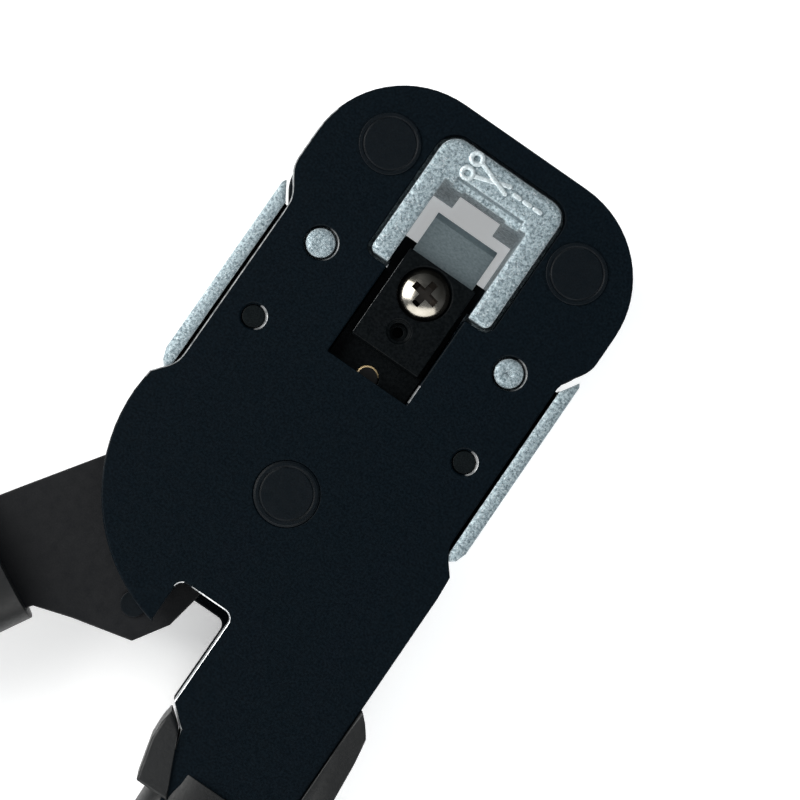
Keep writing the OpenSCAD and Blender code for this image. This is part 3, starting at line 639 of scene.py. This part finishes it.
MID = 0.5 * (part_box("fixed_grip_rear")[0].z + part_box("fixed_grip_front")[1].z)
CLOSING = math.radians(28)
MIRROR_LINE = 2.5 * MM
SEAM = 0.05 * MM
SIDES = (("fixed", False), ("moving", True))

# the fixed handle in millimetres, with y counted down from the pivot
GRIP_TOP, GRIP_END, TIP = 34.0, 152.0, 9.0
NECK_DEPTH, SWELL, SWELL_LENGTH = 8.0, 0.82, 9.0
INSET = 0.12
STATION_STEP = 1.5
OVAL_POWER = 2.0 / 3.4
SCREW_PLACES = (113.0, 138.0)
PAD_TOP, PAD_END, PAD_HALF = 60.0, 97.0, 5.2
RIBS = 10


def grip_x(y):
    """The middle of the fixed handle, at a distance below the pivot."""
    return 18.0 - 2.5 * ((y - 94.0) / 58.0) ** 2


def grip_half(y):
    """Half of the fixed handle's width there."""
    return 11.2 - 1.3 * ((y - 98.0) / 56.0) ** 2


def to_moving(v):
    """From the fixed handle's place to the moving handle's place at rest."""
    x, y = 2 * MIRROR_LINE - v.x, v.y
    c, s = math.cos(-CLOSING), math.sin(-CLOSING)
    return Vector((c * x - s * y, s * x + c * y, v.z))


def grip_bmesh(sign):
    """One half of a handle: a loft of flattened ovals."""
    bm = bmesh.new()
    stations = []
    low = GRIP_END - TIP
    y = GRIP_TOP
    while y < low:
        ease = min(1.0, (y - GRIP_TOP) / SWELL_LENGTH)
        rise = 0.5 - 0.5 * math.cos(math.pi * ease)
        stations.append((y, grip_half(y) - INSET, NECK_DEPTH + SWELL * rise))
        y += STATION_STEP
    for k in range(15):
        a = math.pi / 2 * k / 14
        w = max(math.cos(a), 0.02)
        depth = (NECK_DEPTH + SWELL) * (0.35 + 0.65 * math.sqrt(w))
        stations.append((low + TIP * math.sin(a), (grip_half(low) - INSET) * w, depth))
    sides = 40
    rings = []
    for y, w, t in stations:
        ring = [Vector((-w + INSET, 0.0, 0.0))]
        for k in range(sides + 1):
            a = math.pi - math.pi * k / sides
            cx, sz = math.cos(a), math.sin(a)
            x = w * math.copysign(abs(cx) ** OVAL_POWER, cx)
            z = t * max(sz, 0.0) ** OVAL_POWER
            ring.append(Vector((x, 0.0, max(z, 0.10))))
        ring.append(Vector((w - INSET, 0.0, 0.0)))
        cx = grip_x(y)
        rings.append([bm.verts.new(((p.x + cx) * MM, -y * MM, MID + sign * (SEAM + p.z * MM))) for p in ring])
    n = len(rings[0])
    for a, b in zip(rings, rings[1:]):
        for k in range(n - 1):
            bm.faces.new((a[k], a[k + 1], b[k + 1], b[k]))
        bm.faces.new((a[n - 1], a[0], b[0], b[n - 1]))
    bm.faces.new(rings[0])
    bm.faces.new(rings[-1][::-1])
    return bm


# the fixed grip's two wings beside the leg, as outlines in millimetres
WINGS = [
    [(22.15, -16.1), (23.3, -17.2), (24.5, -18.7), (25.0, -22.0), (25.5, -28.0), (26.3, -34.0), (27.0, -38.0),
     (22.4, -38.0), (22.15, -30.0)],
    [(3.42, -28.9), (3.2, -30.5), (3.3, -33.0), (4.6, -38.0), (9.0, -38.0), (7.3, -34.5), (5.52, -30.55)],
]


def add_wings(bm, sign):
    """Adds the wings to one half of the fixed grip."""
    for outline in WINGS:
        low, high = MID + sign * SEAM, MID + sign * 8.0 * MM
        points = [(x * MM, y * MM) for x, y in outline]
        dense = []
        for (x0, y0), (x1, y1) in zip(points, points[1:] + points[:1]):
            dense.append((x0, y0))
            dense.append(((x0 + x1) / 2, (y0 + y1) / 2))
        prism(bm, dense, min(low, high), max(low, high), 0.35 * MM)


def screw_cutter():
    """Two stepped bores for the fixed handle's screws."""
    bm = bmesh.new()
    for y in SCREW_PLACES:
        centre = Vector((grip_x(y) * MM, -y * MM, 0))
        lathe(bm, [(0, -2 * MM), (2.9 * MM, -2 * MM), (2.9 * MM, 0.2 * MM), (2.55 * MM, 0.6 * MM),
                   (2.55 * MM, 4 * MM), (0, 4 * MM)], centre)
    return raw_object("cutter", bm)


def pad_bmesh(sign):
    """A soft inset with cross ribs."""
    bm = bmesh.new()
    outline = []
    top, low, half = PAD_TOP, PAD_END, PAD_HALF
    for k in range(17):
        a = math.pi * k / 16
        outline.append((grip_x(top) + half * math.cos(a), -top + half * math.sin(a)))
    for k in range(1, 14):
        y = top + (low - top) * k / 14
        outline.append((grip_x(y) - half, -y))
    for k in range(17):
        a = math.pi + math.pi * k / 16
        outline.append((grip_x(low) + half * math.cos(a), -low + half * math.sin(a)))
    for k in range(13, 0, -1):
        y = top + (low - top) * k / 14
        outline.append((grip_x(y) + half, -y))
    face = MID + sign * 8.75 * MM
    inner = MID + sign * 7.8 * MM
    prism(bm, [(x * MM, y * MM) for x, y in outline], min(face, inner), max(face, inner), 0.22 * MM)
    crest = MID + sign * 9.0 * MM
    for k in range(RIBS):
        y = PAD_TOP - 1.5 + 40.0 * k / (RIBS - 1)
        reach = 3.6
        bar = []
        for side, start in ((1, -90), (-1, 90)):
            for j in range(7):
                a = math.radians(start + 180 * j / 6)
                bar.append(((grip_x(y) + side * reach + 0.8 * math.cos(a)) * MM,
                            (-y + side * 0.5 + 0.8 * math.sin(a)) * MM))
        prism(bm, bar, min(crest, inner), max(crest, inner), 0.3 * MM)
    return bm


def place(bm, moving):
    """Takes a mesh from the fixed handle's place to its own."""
    if moving:
        for v in bm.verts:
            v.co = to_moving(v.co)
        bmesh.ops.reverse_faces(bm, faces=bm.faces)


for side, moving in SIDES:
    body = "lever" if moving else "frame"
    for half, sign in (("rear", 1), ("front", -1)):
        bm = grip_bmesh(sign)
        if not moving:
            add_wings(bm, sign)
        place(bm, moving)
        obj = new_piece(side + "_handle_" + half, bm, "grip_black", body)
        if half == "front":
            cutter = screw_cutter()
            if moving:
                for v in cutter.data.vertices:
                    v.co = to_moving(v.co)
                cutter.data.flip_normals()
            cut(obj, cutter)
            smooth(obj)
        soften(obj, 0.12)
        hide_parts(side + "_grip_" + half)
    bm = pad_bmesh(1)
    other = pad_bmesh(-1)
    copy = bpy.data.meshes.new("pad_copy")
    other.to_mesh(copy)
    other.free()
    bm.from_mesh(copy)
    bpy.data.meshes.remove(copy)
    place(bm, moving)
    obj = new_piece(side + "_handle_insets", bm, "grip_pad", body)
    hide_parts(side + "_grip_pads")
    obj.modifiers.new("weighted", "WEIGHTED_NORMAL")


# ---------------------------------------------------------------- screws

def cross_cutter(centre, top, depth, arm, width, turn, up_is=1):
    """A tapered plus, for the recess of a screw."""
    bm = bmesh.new()
    w = width / 2
    plus = [(arm, -w), (arm, w), (w, w), (w, arm), (-w, arm), (-w, w), (-arm, w), (-arm, -w), (-w, -w),
            (-w, -arm), (w, -arm), (w, -w)]
    spin = Matrix.Rotation(math.radians(turn), 2)
    rings = []
    for z, reach, breadth in ((top + up_is * 0.4 * MM, 1.12, 1.06), (top - up_is * depth, 0.55, 0.8)):
        ring = []
        for x, y in plus:
            grown = [c * (breadth if abs(c) <= w else reach) for c in (x, y)]
            p = spin @ Vector(grown)
            ring.append(bm.verts.new((centre.x + p.x, centre.y + p.y, z)))
        rings.append(ring)
    for k in range(12):
        m = (k + 1) % 12
        bm.faces.new((rings[0][k], rings[0][m], rings[1][m], rings[1][k]))
    bm.faces.new(rings[0][::-1])
    bm.faces.new(rings[1])
    return raw_object("cutter", bm)


head_low = screw_high.z - HEAD_HEIGHT
lean = math.asin(HEAD / BALL)
profile = [(0, screw_low.z), (SHANK - 0.1 * MM, screw_low.z), (SHANK, screw_low.z + 0.1 * MM),
           (SHANK, head_low),
           (HEAD - 0.25 * MM, head_low), (HEAD, head_low + 0.2 * MM), (HEAD, screw_high.z - DOME)]
for k in range(1, 17):
    a = lean * (1 - k / 16)
    profile.append((BALL * math.sin(a), screw_high.z - BALL + BALL * math.cos(a)))
profile[-1] = (0, screw_high.z)
bm = bmesh.new()
lathe(bm, profile, screw_centre, 72)
screw = new_piece("blade_screw_head", bm, "screw_nickel", "ram")
cut(screw, cross_cutter(screw_centre, screw_high.z, 1.45 * MM, 2.05 * MM, 0.98 * MM, -10))
crisp(screw)
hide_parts("blade_screw")

for side, moving in SIDES:
    node = side + "_grip_screws"
    bm = bmesh.new()
    centres = []
    for y in SCREW_PLACES:
        c = Vector((grip_x(y) * MM, -y * MM, 0))
        if moving:
            c = to_moving(c)
        centres.append(c)
        lathe(bm, [(0, 1.8 * MM), (1.9 * MM, 1.86 * MM), (2.3 * MM, 2.05 * MM), (2.5 * MM, 2.4 * MM),
                   (2.5 * MM, 3.6 * MM), (2.4 * MM, 4.0 * MM), (1.25 * MM, 4.0 * MM), (1.25 * MM, 14.2 * MM),
                   (0, 14.5 * MM)], c)
    obj = new_piece(side + "_handle_screws", bm, "zinc_screw", "lever" if moving else "frame")
    for c in centres:
        cut(obj, cross_cutter(c, 1.8 * MM, 1.0 * MM, 1.35 * MM, 0.6 * MM, 20, -1))
    crisp(obj)
    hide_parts(node)


# ---------------------------------------------------------------- raised symbol on the bezel

def capsule(start, end, half):
    """The outline of a bar with round ends."""
    start, end = Vector(start), Vector(end)
    heading = math.atan2(end.y - start.y, end.x - start.x)
    points = []
    for centre, turn in ((end, heading - math.pi / 2), (start, heading + math.pi / 2)):
        for k in range(7):
            a = turn + math.pi * k / 6
            points.append((centre.x + half * math.cos(a), centre.y + half * math.sin(a)))
    return points


def bezel_symbol():
    """Open scissors over a dashed cutting line."""
    line, stroke, ring = 45.45, 0.29, 1.0
    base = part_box("die_core")[1].z - 0.1 * MM
    crest = base + 0.42 * MM
    bm = bmesh.new()
    bars = [((2.1 + 1.5 * k, line), (2.9 + 1.5 * k, line), 0.0) for k in range(3)]
    for s in (-1, 1):
        bars.append(((-3.3, line + s * 0.95), (1.1, line - s * 0.55), (0.03 * s - 0.06) * MM))
        inner, outer = (ring - stroke * 2) * MM, ring * MM
        soft = 0.1 * MM
        profile = [(inner, base), (inner, crest - soft), (inner + soft, crest), (outer - soft, crest),
                   (outer, crest - soft), (outer, base), (inner, base)]
        lathe(bm, profile, Vector((-4.1 * MM, (line + s * 1.05) * MM, 0)), 28)
    for start, end, drop in bars:
        prism(bm, [(x * MM, y * MM) for x, y in capsule(start, end, stroke)], base, crest + drop, 0.1 * MM)
    bmesh.ops.remove_doubles(bm, verts=bm.verts, dist=1e-8)
    return bm


new_piece("bezel_symbol", bezel_symbol(), "cast_raised", "frame")


# ---------------------------------------------------------------- springs

def coil_path(centre, radius, low, rise, turns, start, lead_in, lead_out):
    """A coil with a leg at each end."""
    path = [Vector(p) for p in lead_in]
    steps = int(40 * turns)
    for i in range(steps + 1):
        a = start + 2 * math.pi * turns * i / steps
        path.append(Vector((centre.x + radius * math.cos(a), centre.y + radius * math.sin(a),
                            low + rise * turns * i / steps)))
    path += [Vector(p) for p in lead_out]
    return path


PLATE_GAP = 11.0 * MM
core_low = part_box("rear_plate")[0].z - PLATE_GAP
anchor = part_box("spring_anchor_pin")
anchor_x = (anchor[0].x + anchor[1].x) / 2
TURNS = 1.5
RETURN_COIL, RETURN_WIRE, RETURN_RISE = 8.6 * MM, 0.58 * MM, 1.22 * MM
# known fault: the top of this wire is 0.12 mm inside the lever plate's underside
spring_low = core_low + 0.72 * MM
spring_high = spring_low + RETURN_RISE * TURNS
path = coil_path(Vector((0, 0, 0)), RETURN_COIL, spring_low, RETURN_RISE, TURNS, 0.0,
                 [(anchor_x - 2.0 * MM, 17.4 * MM, spring_low), (12.0 * MM, 9.0 * MM, spring_low),
                  (9.3 * MM, 2.2 * MM, spring_low)],
                 [(-8.55 * MM, -2.0 * MM, spring_high), (-8.4 * MM, -12.0 * MM, spring_high)])
bm = bmesh.new()
tube(bm, path, RETURN_WIRE)
obj = new_piece("return_spring_wire", bm, "spring_steel", "frame")
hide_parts("handle_return_spring")

low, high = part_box("pawl_pin")
pawl_centre = Vector(((low.x + high.x) / 2, (low.y + high.y) / 2, 0))
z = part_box("pawl_spring")[0].z + 0.36 * MM
PAWL_COIL, PAWL_WIRE, PAWL_RISE = 1.9 * MM, 0.34 * MM, 0.62 * MM
leg_z = z + 0.63 * MM
path = coil_path(pawl_centre, PAWL_COIL, z, PAWL_RISE, TURNS, math.pi,
                 [(pawl_centre.x - PAWL_COIL, pawl_centre.y + 4.4 * MM, z),
                  (pawl_centre.x - PAWL_COIL, pawl_centre.y + 1.6 * MM, z)],
                 [(pawl_centre.x + 1.85 * MM, pawl_centre.y - 1.4 * MM, leg_z),
                  (pawl_centre.x + 1.7 * MM, pawl_centre.y - 4.1 * MM, leg_z)])
path = [p for i, p in enumerate(path) if i == 0 or (p - path[i - 1]).length > 1e-6]
bm = bmesh.new()
tube(bm, path, PAWL_WIRE, 10)
obj = new_piece("pawl_spring_wire", bm, "spring_steel", "frame")
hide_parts("pawl_spring")


# ---------------------------------------------------------------- floor

s = Shade("floor")
colour = s.mix(s.ramp(s.noise(6.0, 3.0), 0.3, 0.7), rgba(0.87, 0.875, 0.88), rgba(0.90, 0.905, 0.91))
s.finish(colour, 0.7)
s.bsdf.inputs["Emission Color"].default_value = (1.0, 1.0, 1.0, 1.0)
s.bsdf.inputs["Emission Strength"].default_value = 0.35
bm = bmesh.new()
bmesh.ops.create_grid(bm, x_segments=2, y_segments=2, size=3.0)
floor = raw_object("floor", bm)
floor.location.z = cad_low.z - 0.0002
floor.data.materials.append(s.mat)
